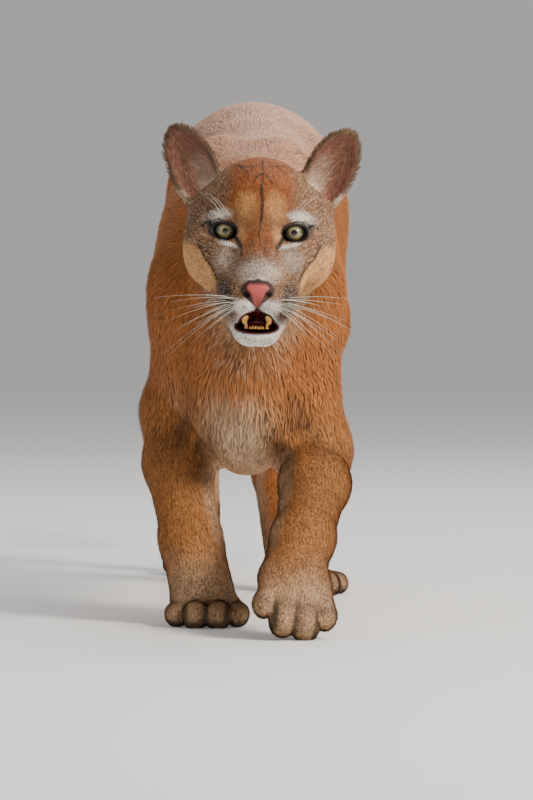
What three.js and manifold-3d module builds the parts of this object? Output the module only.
// A life-size cougar (Puma concolor), walking slowly towards the viewer with its head low.
// Millimetres, +Z up. The animal faces -Y, and its left side is +X. The soles stand on z = 0.
// The body is one smooth form made of bones and muscles. It is parted with thin cuts where a
// person names its parts: head, lower jaw, neck, torso, tail, legs and paws.

import * as THREE from "three";
import Module from "manifold-3d";

const wasm = await Module();
wasm.setup();

// Driving dimensions
const gap = 0.35; // between neighbouring parts
const eyeRadius = 14.5;
const eyeSpacing = 80; // between the eyeballs' centres
const headAt = [8, 94, 471]; // midway between the eyeballs
const headRoll = 1.8; // degrees, the crown leans to the animal's left
const trunkShift = -8; // the breast swings over the standing foreleg
const tailThickness = 25; // radius in mid length

// Grid steps and triangle counts of the smooth parts
const bodyStep = 11;
const headStep = 4;
const pawStep = 5;
const closedMargin = 2.2; // steps inside its grid where a form is closed
const bodyTriangles = 4200;
const headTriangles = 3800;
const pawTriangles = 460;

const degrees = THREE.MathUtils.degToRad;
const sides = [
  { name: "left", s: 1 },
  { name: "right", s: -1 },
];

// Smooth forms: each is a function of a point that gives its distance, negative inside.

function egg(centre, radii, turn = [0, 0, 0]) {
  const m = new THREE.Matrix4()
    .makeRotationFromEuler(new THREE.Euler(...turn.map(degrees)))
    .transpose().elements;
  const [cx, cy, cz] = centre;
  const [rx, ry, rz] = radii;
  return (px, py, pz) => {
    const x = px - cx;
    const y = py - cy;
    const z = pz - cz;
    const u = (m[0] * x + m[4] * y + m[8] * z) / rx;
    const v = (m[1] * x + m[5] * y + m[9] * z) / ry;
    const w = (m[2] * x + m[6] * y + m[10] * z) / rz;
    const k = Math.hypot(u, v, w);
    const g = Math.hypot(u / rx, v / ry, w / rz);
    return g < 1e-9 ? -Math.min(rx, ry, rz) : (k * (k - 1)) / g;
  };
}

// A tapered limb from a to b. wide stretches its section along X.
function limb(a, b, ra, rb, wide = 1) {
  const d = [b[0] - a[0], b[1] - a[1], b[2] - a[2]];
  const length2 = d[0] * d[0] + d[1] * d[1] + d[2] * d[2];
  return (px, py, pz) => {
    const x = px - a[0];
    const y = py - a[1];
    const z = pz - a[2];
    const t = THREE.MathUtils.clamp((x * d[0] + y * d[1] + z * d[2]) / length2, 0, 1);
    const off = Math.hypot((x - t * d[0]) / wide, y - t * d[1], z - t * d[2]);
    return (off - ra - t * (rb - ra)) * Math.min(1, wide);
  };
}

function join(a, b, k) {
  const h = Math.max(k - Math.abs(a - b), 0) / k;
  return Math.min(a, b) - (h * h * k) / 4;
}

function carve(a, b, k) {
  return -join(-a, b, k);
}

// Blends a list of [form, softness] into one form.
function blend(forms) {
  return (x, y, z) => {
    let d = 1e3;
    for (const [form, k] of forms) d = join(d, form(x, y, z), k);
    return d;
  };
}

// The trunk: ribs, breast, keel, belly, loin and hips
const trunk = [
  [egg([trunkShift, 450, 392], [106, 250, 160]), 1],
  [egg([trunkShift, 300, 335], [92, 118, 122]), 50],
  [egg([trunkShift, 400, 268], [66, 180, 96]), 40],
  [egg([0, 770, 465], [98, 270, 112]), 60],
  [egg([0, 690, 345], [92, 240, 132]), 60],
  [egg([0, 880, 395], [72, 140, 100]), 50],
  [egg([-2, 1030, 541], [104, 165, 100]), 60],
  [egg([3, 1130, 525], [72, 100, 84]), 50],
  [limb([trunkShift, 320, 485], [0, 900, 520], 66, 72), 40],
];

// The neck, from behind the skull to the shoulders
const neck = [
  [limb([8, 205, 474], [trunkShift, 400, 460], 68, 100), 50],
  [limb([6, 215, 436], [trunkShift, 330, 370], 62, 96), 40],
];

// Joints of the forelegs: the right one stands and the left one reaches forward
const foreleg = {
  right: {
    blade: [-42, 425, 546],
    shoulder: [-68, 302, 400],
    elbow: [-94, 390, 252],
    wrist: [-75, 284, 100],
    knuckle: [-62, 262, 44],
  },
  left: {
    blade: [34, 405, 543],
    shoulder: [52, 290, 396],
    elbow: [75, 318, 208],
    wrist: [59, 130, 112],
    knuckle: [46, 70, 68],
  },
};

// Joints of the hind legs: the left one is well forward and the right one is at its last
const hindleg = {
  left: {
    hip: [56, 1045, 486],
    knee: [74, 815, 350],
    hock: [25, 935, 150],
    knuckle: [45, 842, 45],
  },
  right: {
    hip: [-47, 1055, 486],
    knee: [-84, 950, 295],
    hock: [-76, 1232, 192],
    knuckle: [-78, 1200, 55],
  },
};

function along(a, b, t) {
  return [0, 1, 2].map((i) => a[i] + t * (b[i] - a[i]));
}

function shifted(a, d) {
  return [0, 1, 2].map((i) => a[i] + d[i]);
}

function forelegForms({ blade, shoulder, elbow, wrist, knuckle }, s) {
  const middle = shifted(along(elbow, wrist, 0.4), [5 * s, 0, 0]);
  return [
    [limb(blade, shoulder, 40, 50, 0.85), 40],
    [limb(shifted(blade, [8 * s, 60, -90]), shoulder, 44, 50, 0.85), 40],
    [limb(shoulder, elbow, 52, 40, 0.85), 40],
    [limb(shifted(shoulder, [0, 110, 0]), shifted(elbow, [0, 14, 10]), 50, 32, 0.8), 40],
    [limb(shifted(elbow, [0, 4, -4]), middle, 42, 40, 0.98), 30],
    [limb(middle, wrist, 39, 33, 1.08), 20],
    [limb(wrist, knuckle, 34, 36, 1.1), 18],
  ];
}

function hindlegForms({ hip, knee, hock, knuckle }, s) {
  const calf = along(knee, hock, 0.35);
  return [
    [limb(hip, knee, 88, 56, 0.75), 50],
    [limb(shifted(hip, [-2 * s, 60, -20]), shifted(calf, [0, 24, 12]), 76, 42, 0.75), 50],
    [limb(knee, calf, 52, 44, 0.85), 30],
    [limb(calf, hock, 40, 28, 0.9), 25],
    [egg(shifted(hock, [0, 14, 6]), [21, 22, 26]), 14],
    [limb(hock, knuckle, 27, 30, 1.05), 16],
  ];
}

// The tail hangs, and lifts at its tip.
const tailPoints = [
  [0, 1150, 566],
  [-2, 1250, 548],
  [-6, 1335, 478],
  [-12, 1395, 375],
  [-18, 1455, 275],
  [-24, 1535, 212],
  [-28, 1625, 204],
  [-26, 1710, 246],
  [-22, 1765, 322],
];
const tailCurve = new THREE.CatmullRomCurve3(tailPoints.map((p) => new THREE.Vector3(...p)));
const tailPieces = 16;

function tailRadius(t) {
  return tailThickness * (1 + 0.75 * Math.exp(-t * 9)) * (1 - 0.12 * t);
}

function tailForms() {
  const forms = [];
  for (let i = 0; i < tailPieces; i++) {
    const [t0, t1] = [i / tailPieces, (i + 1) / tailPieces];
    const a = tailCurve.getPoint(t0).toArray();
    const b = tailCurve.getPoint(t1).toArray();
    forms.push([limb(a, b, tailRadius(t0), tailRadius(t1)), i ? 2 : 40]);
  }
  return forms;
}

const body = blend([
  ...trunk,
  ...neck,
  ...forelegForms(foreleg.right, -1),
  ...forelegForms(foreleg.left, 1),
  ...hindlegForms(hindleg.left, 1),
  ...hindlegForms(hindleg.right, -1),
  ...tailForms(),
]);

// The head, in its own frame: origin midway between the eyes, face towards -Y
const headFrame = new THREE.Matrix4().compose(
  new THREE.Vector3(...headAt),
  new THREE.Quaternion().setFromEuler(new THREE.Euler(0, degrees(headRoll), 0)),
  new THREE.Vector3(1, 1, 1),
);
const eyeX = eyeSpacing / 2;

function paired(form) {
  return (x, y, z) => form(Math.abs(x), y, z);
}

const skull = blend([
  [egg([0, 62, 20], [66, 84, 68]), 1],
  [paired(egg([49, 58, -2], [39, 56, 54])), 26],
  [egg([0, 12, 26], [44, 38, 32]), 26],
  [paired(egg([34, 8, 18], [22, 20, 14])), 14],
  [limb([0, 6, 2], [0, -52, -54], 29, 25, 1.1), 20],
  [egg([0, -36, -74], [45, 46, 30]), 20],
  [paired(egg([23, -54, -84], [23, 27, 19], [12, 0, -12])), 8],
  [egg([0, -72, -70], [21, 15, 13]), 8],
  [paired(egg([58, 26, -26], [30, 40, 40])), 20],
  [paired(egg([36, -6, -28], [20, 20, 20])), 18],
  [paired(limb([42, 0, -30], [33, -26, -58], 22, 20)), 16],
  [paired(limb([30, 42, -74], [9, -40, -113], 26, 18)), 20],
  [egg([0, -50, -114], [26, 24, 18]), 12],
  [egg([0, 70, -50], [52, 66, 48]), 30],
  [paired(limb([62, 68, 34], [76, 66, 58], 24, 22)), 12],
]);

// The cup of each ear, an open shell that faces forwards and a little out
const earTurn = [0, 26, 15];
const earShell = paired(egg([81, 68, 74], [31, 14, 54], earTurn));
const earHollow = paired(egg([82, 56, 74], [25, 15, 44], earTurn));

// Lids round each eye, the slit between them, nostrils and the open mouth
const lids = paired(egg([eyeX, 0.5, 0], [19, 17.5, 18]));
const eyeSlit = paired(egg([eyeX, -15, -1], [15.5, 16, 9.5], [0, -10, 0]));
const nostril = paired(egg([12, -90, -70], [6, 12, 4], [0, -28, 0]));
const lipCleft = egg([0, -90, -86], [1.8, 12, 10]);
const mouthGap = egg([0, -52, -105], [23, 46, 11.5]);
const upperArch = paired(egg([9, -78, -97], [13, 20, 6.5], [0, 22, 0]));

function headForm(x, y, z) {
  let d = join(skull(x, y, z), earShell(x, y, z), 12);
  d = carve(d, earHollow(x, y, z), 4);
  d = join(d, lids(x, y, z), 7);
  d = carve(d, eyeSlit(x, y, z), 3);
  d = carve(d, nostril(x, y, z), 2.5);
  d = carve(d, lipCleft(x, y, z), 4);
  d = carve(d, mouthGap(x, y, z), 4);
  return carve(d, upperArch(x, y, z), 4);
}

const headBlend = 34;
const toHead = headFrame.clone().invert().elements;
const toWorld = headFrame.elements;

function moved(m, form) {
  return (x, y, z) =>
    form(
      m[0] * x + m[4] * y + m[8] * z + m[12],
      m[1] * x + m[5] * y + m[9] * z + m[13],
      m[2] * x + m[6] * y + m[10] * z + m[14],
    );
}

const headInWorld = moved(toHead, skull);
const bodyInHead = moved(toWorld, blend([...trunk, ...neck]));

function wholeBody(x, y, z) {
  return join(body(x, y, z), headInWorld(x, y, z), headBlend);
}

function wholeHead(x, y, z) {
  return join(headForm(x, y, z), bodyInHead(x, y, z), headBlend);
}

// Each paw in its own frame: origin on the floor under the ball of the foot, toes towards -Y
const paws = [
  { name: "front_paw_right", at: [-54, 244, 0], pitch: 0, yaw: -2, size: 1 },
  { name: "front_paw_left", at: [46, 62, 39], pitch: 45, roll: 12, yaw: 8, size: 1 },
  { name: "hind_paw_left", at: [69, 802, 0], pitch: 0, yaw: 22, size: 0.92 },
  { name: "hind_paw_right", at: [-79, 1182, 6], pitch: 12, yaw: -4, size: 0.88 },
];
const toes = [
  { x: -36, y: -20, r: 15 },
  { x: -13, y: -41, r: 17 },
  { x: 14, y: -42, r: 17 },
  { x: 36, y: -21, r: 15 },
];

function pawForms() {
  const forms = [
    [egg([0, 8, 19], [44, 42, 19]), 1],
    [egg([0, 14, 6], [28, 23, 12]), 8],
    [egg([0, -16, 14], [35, 26, 12]), 10],
  ];
  for (const { x, y, r } of toes) {
    forms.push([limb([x * 0.74, y + 32, 20], [x, y, 17], r * 0.95, r), 5]);
    forms.push([egg([x, y - 5, 14], [r * 0.97, r * 1.1, r]), 5]);
  }
  return forms;
}

const pawForm = blend(pawForms());

// Surface nets: one vertex in each grid cell that the surface crosses, and a quad round each
// grid edge that it crosses. Cells with two sheets are filled first, so the net is closed.

const corners = [0, 1, 2, 3, 4, 5, 6, 7].map((c) => [c & 1, (c >> 1) & 1, c >> 2]);
const cellEdges = [];
for (let a = 0; a < 8; a++) {
  for (const bit of [1, 2, 4]) if (!(a & bit)) cellEdges.push([a, a | bit]);
}

function inPieces(mask) {
  const members = corners.map((_, c) => c).filter((c) => mask & (1 << c));
  if (!members.length) return 0;
  const seen = new Set([members[0]]);
  for (const c of seen) {
    for (const bit of [1, 2, 4]) if (mask & (1 << (c ^ bit))) seen.add(c ^ bit);
  }
  return members.length - seen.size;
}

const twoSheets = Array.from({ length: 256 }, (_, m) => inPieces(m) > 0 || inPieces(255 - m) > 0);

function netOf(form, low, high, step) {
  const count = [0, 1, 2].map((i) => Math.ceil((high[i] - low[i]) / step) + 1);
  const [nx, ny, nz] = count;
  const at = (i, j, k) => (i * ny + j) * nz + k;
  const value = new Float64Array(nx * ny * nz);
  for (let i = 0; i < nx; i++) {
    for (let j = 0; j < ny; j++) {
      for (let k = 0; k < nz; k++) {
        const margin = Math.min(i, j, k, nx - 1 - i, ny - 1 - j, nz - 1 - k);
        const d = form(low[0] + i * step, low[1] + j * step, low[2] + k * step);
        value[at(i, j, k)] = Math.max(d, (closedMargin - margin) * step);
      }
    }
  }
  const cornerStep = corners.map(([i, j, k]) => at(i, j, k));
  const maskAt = (o) =>
    cornerStep.reduce((m, c, n) => (value[o + c] < 0 ? m | (1 << n) : m), 0);
  for (let changed = true; changed; ) {
    changed = false;
    for (let i = 1; i < nx - 2; i++) {
      for (let j = 1; j < ny - 2; j++) {
        for (let k = 1; k < nz - 2; k++) {
          const o = at(i, j, k);
          if (!twoSheets[maskAt(o)]) continue;
          const outside = cornerStep.map((c) => o + c).filter((c) => value[c] >= 0);
          const nearest = outside.reduce((a, b) => (value[a] < value[b] ? a : b));
          value[nearest] = -step / 50;
          changed = true;
        }
      }
    }
  }
  const vertexOf = new Int32Array(nx * ny * nz).fill(-1);
  const points = [];
  for (let i = 0; i < nx - 1; i++) {
    for (let j = 0; j < ny - 1; j++) {
      for (let k = 0; k < nz - 1; k++) {
        const o = at(i, j, k);
        const mask = maskAt(o);
        if (mask === 0 || mask === 255) continue;
        const sum = [0, 0, 0];
        let crossings = 0;
        for (const [a, b] of cellEdges) {
          const va = value[o + cornerStep[a]];
          const vb = value[o + cornerStep[b]];
          if (va < 0 === vb < 0) continue;
          const t = va / (va - vb);
          for (let n = 0; n < 3; n++) sum[n] += corners[a][n] + t * (corners[b][n] - corners[a][n]);
          crossings++;
        }
        vertexOf[o] = points.length;
        points.push([i, j, k].map((c, n) => low[n] + (c + sum[n] / crossings) * step));
      }
    }
  }
  const triangles = [];
  const unit = [at(1, 0, 0), at(0, 1, 0), at(0, 0, 1)];
  for (let i = 1; i < nx - 1; i++) {
    for (let j = 1; j < ny - 1; j++) {
      for (let k = 1; k < nz - 1; k++) {
        const o = at(i, j, k);
        for (let n = 0; n < 3; n++) {
          const inside = value[o] < 0;
          if (inside === value[o + unit[n]] < 0) continue;
          const [u, v] = [unit[(n + 1) % 3], unit[(n + 2) % 3]];
          const quad = [o - u - v, o - v, o, o - u].map((c) => vertexOf[c]);
          if (!inside) quad.reverse();
          const apart = (a, b) => Math.hypot(...points[a].map((c, m) => c - points[b][m]));
          const [a, b, c, d] = quad;
          if (apart(a, c) < apart(b, d)) triangles.push([a, b, c], [a, c, d]);
          else triangles.push([b, c, d], [b, d, a]);
        }
      }
    }
  }
  return { points, triangles };
}

// Thins a closed net to about the wanted number of triangles, by joining the two ends of the
// edge that changes the shape least, again and again. The surface stays closed.

function thinned({ points, triangles }, wanted) {
  const place = points.map((p) => p.slice());
  const face = triangles.map((t) => t.slice());
  const around = place.map(() => new Set());
  face.forEach((t, f) => t.forEach((v) => around[v].add(f)));
  const cross = (a, b, c) => {
    const u = [b[0] - a[0], b[1] - a[1], b[2] - a[2]];
    const v = [c[0] - a[0], c[1] - a[1], c[2] - a[2]];
    return [
      u[1] * v[2] - u[2] * v[1],
      u[2] * v[0] - u[0] * v[2],
      u[0] * v[1] - u[1] * v[0],
    ];
  };
  const quadric = place.map(() => new Float64Array(10));
  for (const [a, b, c] of face) {
    const n = cross(place[a], place[b], place[c]);
    const twice = Math.hypot(...n) || 1;
    const [x, y, z] = n.map((m) => m / twice);
    const w = -(x * place[a][0] + y * place[a][1] + z * place[a][2]);
    const q = [x * x, x * y, x * z, x * w, y * y, y * z, y * w, z * z, z * w, w * w];
    for (const v of [a, b, c]) q.forEach((m, i) => (quadric[v][i] += (m * twice) / 2));
  }
  const cost = (q, [x, y, z]) =>
    q[0] * x * x + 2 * q[1] * x * y + 2 * q[2] * x * z + 2 * q[3] * x + q[4] * y * y +
    2 * q[5] * y * z + 2 * q[6] * y + q[7] * z * z + 2 * q[8] * z + q[9];
  const stamp = new Int32Array(place.length);
  const heap = [];
  const put = (item) => {
    let i = heap.push(item) - 1;
    while (i && heap[(i - 1) >> 1].cost > item.cost) {
      heap[i] = heap[(i - 1) >> 1];
      i = (i - 1) >> 1;
    }
    heap[i] = item;
  };
  const take = () => {
    const top = heap[0];
    const item = heap.pop();
    if (!heap.length) return top;
    let i = 0;
    for (;;) {
      let c = 2 * i + 1;
      if (c >= heap.length) break;
      if (c + 1 < heap.length && heap[c + 1].cost < heap[c].cost) c++;
      if (heap[c].cost >= item.cost) break;
      heap[i] = heap[c];
      i = c;
    }
    heap[i] = item;
    return top;
  };
  const offer = (u, v) => {
    const q = quadric[u].map((m, i) => m + quadric[v][i]);
    const middle = place[u].map((c, i) => (c + place[v][i]) / 2);
    const long = Math.hypot(...place[u].map((c, i) => c - place[v][i]));
    const m = new THREE.Matrix3().set(q[0], q[1], q[2], q[1], q[4], q[5], q[2], q[5], q[7]);
    let best = middle;
    if (Math.abs(m.determinant()) > 1e-3 * (q[0] + q[4] + q[7]) ** 3) {
      const p = new THREE.Vector3(-q[3], -q[6], -q[8]).applyMatrix3(m.invert()).toArray();
      if (Math.hypot(...p.map((c, i) => c - middle[i])) < long) best = p;
    }
    const price = cost(q, best) + 2e-3 * long ** 4;
    put({ cost: price, u, v, best, stamps: stamp[u] + stamp[v] });
  };
  const neighbours = (v) => {
    const found = new Set();
    for (const f of around[v]) face[f].forEach((w) => w !== v && found.add(w));
    return found;
  };
  for (const [a, b, c] of face) {
    for (const [u, v] of [[a, b], [b, c], [c, a]]) if (u < v) offer(u, v);
  }
  let left = face.length;
  const keepsFacing = (v, other, best) => {
    for (const f of around[v]) {
      if (face[f].includes(other)) continue;
      const before = cross(...face[f].map((w) => place[w]));
      const after = cross(...face[f].map((w) => (w === v ? best : place[w])));
      const dot = before[0] * after[0] + before[1] * after[1] + before[2] * after[2];
      if (dot < 0.3 * Math.hypot(...before) * Math.hypot(...after)) return false;
      if (Math.hypot(...after) < 0.5) return false;
    }
    return true;
  };
  while (left > wanted && heap.length) {
    const { u, v, best, stamps } = take();
    if (!around[u].size || !around[v].size || stamps !== stamp[u] + stamp[v]) continue;
    const near = neighbours(u);
    if (!near.has(v)) continue;
    const shared = [...neighbours(v)].filter((w) => near.has(w));
    if (shared.length !== 2) continue;
    if (!keepsFacing(u, v, best) || !keepsFacing(v, u, best)) continue;
    for (const f of [...around[v]]) {
      if (face[f].includes(u)) {
        face[f].forEach((w) => around[w].delete(f));
        face[f] = null;
        left--;
      } else {
        face[f] = face[f].map((w) => (w === v ? u : w));
        around[u].add(f);
      }
    }
    around[v].clear();
    place[u] = best;
    quadric[u] = quadric[u].map((m, i) => m + quadric[v][i]);
    stamp[u] += 1e6;
    for (const w of neighbours(u)) offer(Math.min(u, w), Math.max(u, w));
  }
  return { points: place, triangles: face.filter((t) => t) };
}

// Solids, cuts and meshes

function solidOf({ points, triangles }) {
  const used = new Map();
  const vertProperties = [];
  const triVerts = triangles.flat().map((v) => {
    if (!used.has(v)) {
      used.set(v, used.size);
      vertProperties.push(...points[v]);
    }
    return used.get(v);
  });
  return new wasm.Manifold(
    new wasm.Mesh({
      numProp: 3,
      vertProperties: new Float32Array(vertProperties),
      triVerts: new Uint32Array(triVerts),
    }),
  );
}

// A three.js geometry, put in place, as a closed net
function placed(geometry, position = [0, 0, 0], turn = [0, 0, 0]) {
  const g = geometry.index ? geometry.toNonIndexed() : geometry;
  g.applyMatrix4(
    new THREE.Matrix4().compose(
      new THREE.Vector3(...position),
      new THREE.Quaternion().setFromEuler(new THREE.Euler(...turn.map(degrees))),
      new THREE.Vector3(1, 1, 1),
    ),
  );
  const array = g.attributes.position.array;
  const keys = new Map();
  const points = [];
  const index = [];
  for (let i = 0; i < array.length; i += 3) {
    const p = [array[i], array[i + 1], array[i + 2]];
    const key = p.map((c) => Math.round(c * 1e3)).join();
    if (!keys.has(key)) {
      keys.set(key, points.length);
      points.push(p);
    }
    index.push(keys.get(key));
  }
  const triangles = [];
  for (let i = 0; i < index.length; i += 3) {
    const t = index.slice(i, i + 3);
    if (new Set(t).size === 3) triangles.push(t);
  }
  return { points, triangles };
}

// A large block whose face passes through a point: everything on the side of its normal
const blockSize = 4400;
function halfSpace(point, normal, shift = 0) {
  const n = new THREE.Vector3(...normal).normalize();
  const centre = new THREE.Vector3(...point).addScaledVector(n, blockSize / 2 + shift);
  const net = placed(new THREE.BoxGeometry(blockSize, blockSize, blockSize));
  const turn = new THREE.Quaternion().setFromUnitVectors(new THREE.Vector3(0, 0, 1), n);
  net.points = net.points.map((p) =>
    new THREE.Vector3(...p).applyQuaternion(turn).add(centre).toArray(),
  );
  return solidOf(net);
}

function largest(solid) {
  return solid.decompose().reduce((a, b) => (a.volume() > b.volume() ? a : b));
}

function box(low, high) {
  const size = high.map((c, i) => c - low[i]);
  return solidOf(placed(new THREE.BoxGeometry(...size), along(low, high, 0.5)));
}

const materials = {
  coat: new THREE.MeshStandardMaterial({ color: 0xb5793f, roughness: 0.85, metalness: 0 }),
  tooth: new THREE.MeshStandardMaterial({ color: 0xe0c48a, roughness: 0.35, metalness: 0 }),
  eye: new THREE.MeshStandardMaterial({ color: 0x8f8a4a, roughness: 0.1, metalness: 0 }),
  tongue: new THREE.MeshStandardMaterial({ color: 0x8a4442, roughness: 0.5, metalness: 0 }),
};

function meshOf(solid, name, material) {
  const { vertProperties, triVerts, numProp, numVert } = largest(solid).getMesh();
  const position = new Float32Array(numVert * 3);
  for (let i = 0; i < numVert; i++) {
    position.set(vertProperties.subarray(i * numProp, i * numProp + 3), i * 3);
  }
  const geometry = new THREE.BufferGeometry()
    .setAttribute("position", new THREE.BufferAttribute(position, 3))
    .setIndex(new THREE.BufferAttribute(triVerts, 1));
  const mesh = new THREE.Mesh(geometry, material);
  mesh.name = name;
  return mesh;
}

const cougar = new THREE.Group();

// The body in one, then its cuts
const bodyBox = [
  [-165, -40, -60],
  [165, 1830, 690],
];
const bodySolid = solidOf(thinned(netOf(wholeBody, ...bodyBox, bodyStep), bodyTriangles));

const headGroup = new THREE.Group();
headGroup.applyMatrix4(headFrame);
cougar.add(headGroup);

// Cutting planes, each a point and the way that its normal faces
const neckCut = { at: [0, 112, 0], way: [0, -1, 0.35] };
const neckCutWorld = {
  at: new THREE.Vector3(...neckCut.at).applyMatrix4(headFrame).toArray(),
  way: new THREE.Vector3(...neckCut.way).transformDirection(headFrame).toArray(),
};
const chestCut = { at: [0, 285, 440], way: [0, -1, 0.3] };
const tailCuts = [0.09, 0.4, 0.7].map((t) => ({
  at: tailCurve.getPoint(t).toArray(),
  way: tailCurve.getTangent(t).toArray(),
}));

function beyond(solid, { at, way }, shift = gap / 2) {
  return solid.intersect(halfSpace(at, way, shift));
}

function before(solid, { at, way }, shift = -gap / 2) {
  return solid.subtract(halfSpace(at, way, shift));
}

// Neck
const forepart = before(bodySolid, neckCutWorld).intersect(box([-165, 90, 215], [165, 420, 690]));
cougar.add(meshOf(beyond(forepart, chestCut), "neck", materials.coat));

// Tail, in three lengths
const tailRoom = box([-165, 1130, 330], [165, 1830, 690]).add(
  box([-165, 1300, 120], [165, 1830, 331]),
);
let tail = beyond(bodySolid.intersect(tailRoom), tailCuts[0]);
["tail_base", "tail_middle", "tail_tip"].forEach((name, i) => {
  const next = tailCuts[i + 1];
  cougar.add(meshOf(next ? before(tail, next) : tail, name, materials.coat));
  if (next) tail = beyond(tail, next);
});

// Each leg leaves the trunk at a slanting plane, from its inner crease to its outer top.
// Below the height called free it has nothing beside it.
const legCuts = {
  foreleg_left: { s: 1, crease: [32, 196], top: [140, 370], ahead: -40, behind: 500, free: 160 },
  foreleg_right: { s: -1, crease: [46, 196], top: [140, 370], ahead: 80, behind: 500, free: 160 },
  hindleg_left: { s: 1, crease: [14, 292], top: [130, 440], ahead: 745, behind: 1130, free: 212 },
  hindleg_right: { s: -1, crease: [14, 292], top: [130, 440], ahead: 870, behind: 1290, free: 212 },
};

function legRoom({ s, crease, top, ahead, behind, free }, grow) {
  const inner = Math.min(crease[0], 44) - 6;
  const xs = [s * (inner - grow), s * (165 + grow)].sort((a, b) => a - b);
  const high = box([xs[0], ahead, free - 60], [xs[1], behind, 460]);
  const slope = [s * (top[1] - crease[1]), 0, -(top[0] - crease[0])];
  const slanted = beyond(high, { at: [s * crease[0], 0, crease[1]], way: slope }, -grow);
  const below = [s * -16, s * 165].sort((a, b) => a - b);
  return slanted.add(box([below[0], ahead, -60], [below[1], behind, free + grow]));
}

const pawCuts = {
  foreleg_left: { at: along(foreleg.left.wrist, foreleg.left.knuckle, 0.3), way: [-0.1, 0.8, 1] },
  foreleg_right: { at: along(foreleg.right.wrist, foreleg.right.knuckle, 0.35), way: [0, 0, 1] },
  hindleg_left: { at: along(hindleg.left.hock, hindleg.left.knuckle, 0.55), way: [0, 0.6, 1] },
  hindleg_right: { at: along(hindleg.right.hock, hindleg.right.knuckle, 0.55), way: [0, 0.1, 1] },
};
let torso = before(before(bodySolid, chestCut), tailCuts[0]);
for (const [name, cut] of Object.entries(legCuts)) {
  const leg = beyond(bodySolid.intersect(legRoom(cut, -gap / 2)), pawCuts[name]);
  cougar.add(meshOf(leg, name, materials.coat));
  torso = torso.subtract(legRoom(cut, gap / 2));
}
cougar.add(meshOf(torso, "torso", materials.coat));

// Paws, cut off flat where they stand on the floor
const floor = halfSpace([0, 0, 0], [0, 0, -1]);
const shanks = {
  foreleg_left: forelegForms(foreleg.left, 1).slice(-2),
  foreleg_right: forelegForms(foreleg.right, -1).slice(-2),
  hindleg_left: hindlegForms(hindleg.left, 1).slice(-1),
  hindleg_right: hindlegForms(hindleg.right, -1).slice(-1),
};
for (const { name, at, pitch, roll = 0, yaw, size } of paws) {
  const frame = new THREE.Matrix4().compose(
    new THREE.Vector3(...at),
    new THREE.Quaternion().setFromEuler(
      new THREE.Euler(degrees(pitch), degrees(roll), degrees(yaw), "ZYX"),
    ),
    new THREE.Vector3(size, size, size),
  );
  const key = name.replace("front_paw", "foreleg").replace("hind_paw", "hindleg");
  const pawHere = moved(frame.clone().invert().elements, pawForm);
  const shank = blend(shanks[key]);
  const form = (x, y, z) => join(pawHere(x, y, z) * size, shank(x, y, z), 18);
  const low = [at[0] - 75, at[1] - 85, -15];
  const high = [at[0] + 75, at[1] + 110, 160];
  const net = thinned(netOf(form, low, high, pawStep), pawTriangles);
  cougar.add(meshOf(before(solidOf(net), pawCuts[key]).subtract(floor), name, materials.coat));
}

// Head, lower jaw and ears, with sockets for the eyes, teeth and tongue
const headBox = [
  [-122, -112, -152],
  [122, 150, 140],
];
const headNet = thinned(netOf(wholeHead, ...headBox, headStep), headTriangles);
const jawCut = { at: [0, -60, -107], way: [0, 0.38, -1] };

function earCut(s) {
  return { at: [s * 43, 0, 75], way: [s * 0.72, 0, 0.69] };
}

let headSolid = beyond(solidOf(headNet), neckCut);
for (const { name, s } of sides) {
  headGroup.add(meshOf(beyond(headSolid, earCut(s)), "ear_" + name, materials.coat));
  headSolid = before(headSolid, earCut(s));
  const socket = new THREE.SphereGeometry(eyeRadius + gap, 28, 18);
  headSolid = headSolid.subtract(solidOf(placed(socket, [s * eyeX, 0, 0])));
  const eye = placed(new THREE.SphereGeometry(eyeRadius, 24, 16), [s * eyeX, 0, 0]);
  headGroup.add(meshOf(solidOf(eye), "eye_" + name, materials.eye));
}
let upper = before(headSolid, jawCut);
let jaw = beyond(headSolid, jawCut);

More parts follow.
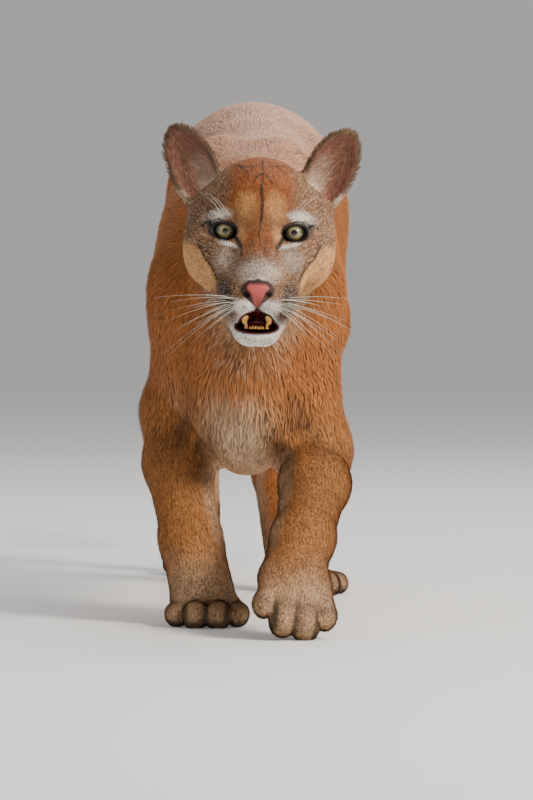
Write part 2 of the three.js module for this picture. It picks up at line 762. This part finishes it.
// A pointed tooth: its neck at the origin, its tip at -z and its root at +z
function tooth(length, radius, grow = 0) {
  const profile = [
    [0, -length - grow],
    [radius * 0.72 + grow, -length * 0.5],
    [radius + grow, 0],
    [radius * 0.9 + grow, 9 + grow],
    [0, 9 + grow],
  ];
  return new THREE.LatheGeometry(profile.map((p) => new THREE.Vector2(...p)), 10).rotateX(Math.PI / 2);
}

// Upper canines
for (const { name, s } of sides) {
  const place = [[s * 15, -52, -92], [-6, 0, 0]];
  upper = upper.subtract(solidOf(placed(tooth(16, 4.4, gap), ...place)));
  const canine = solidOf(placed(tooth(16, 4.4), ...place));
  headGroup.add(meshOf(canine, "canine_" + name, materials.tooth));
}

// The lower front teeth on one low bar, the canine at each end the tallest
const lowerTeeth = [-11.5, -7.6, -4.6, -1.5, 1.5, 4.6, 7.6, 11.5];
const lowerBar = { low: [-14.6, -64, -122], high: [14.6, -57, -114] };
let lowerRow = box(lowerBar.low, lowerBar.high);
for (const x of lowerTeeth) {
  const end = Math.abs(x) > 10;
  const shape = tooth(end ? 10 : 6.5, end ? 2.6 : 1.65);
  lowerRow = lowerRow.add(solidOf(placed(shape, [x, -60.5, -114], [180, 0, 0])));
}
const barSlot = box(
  shifted(lowerBar.low, [-gap, -gap, -gap]),
  shifted(lowerBar.high, [gap, gap, 12]),
);
jaw = jaw.subtract(barSlot);
lowerRow = lowerRow.intersect(box(lowerBar.low, shifted(lowerBar.high, [0, 0, 14])));
headGroup.add(meshOf(lowerRow, "teeth_lower", materials.tooth));

// Tongue
const tongueAt = [[0, -28, -107], [-14, 0, 0]];
const tongueSize = [14, 24, 5];
function tongueOf(grow) {
  return placed(
    new THREE.SphereGeometry(1, 16, 10).scale(...tongueSize.map((r) => r + grow)),
    ...tongueAt,
  );
}
jaw = jaw.subtract(solidOf(tongueOf(gap)));
upper = upper.subtract(solidOf(tongueOf(gap)));
headGroup.add(meshOf(solidOf(tongueOf(0)), "tongue", materials.tongue));

headGroup.add(meshOf(upper, "head", materials.coat));
headGroup.add(meshOf(jaw, "lower_jaw", materials.coat));

// The origin is under the middle of the whole animal.
const bounds = new THREE.Box3().setFromObject(cougar);
const middle = bounds.getCenter(new THREE.Vector3());
cougar.position.set(-middle.x, -middle.y, -bounds.min.z);

const model = new THREE.Group();
model.add(cougar);
model.updateMatrixWorld(true);

export default model;
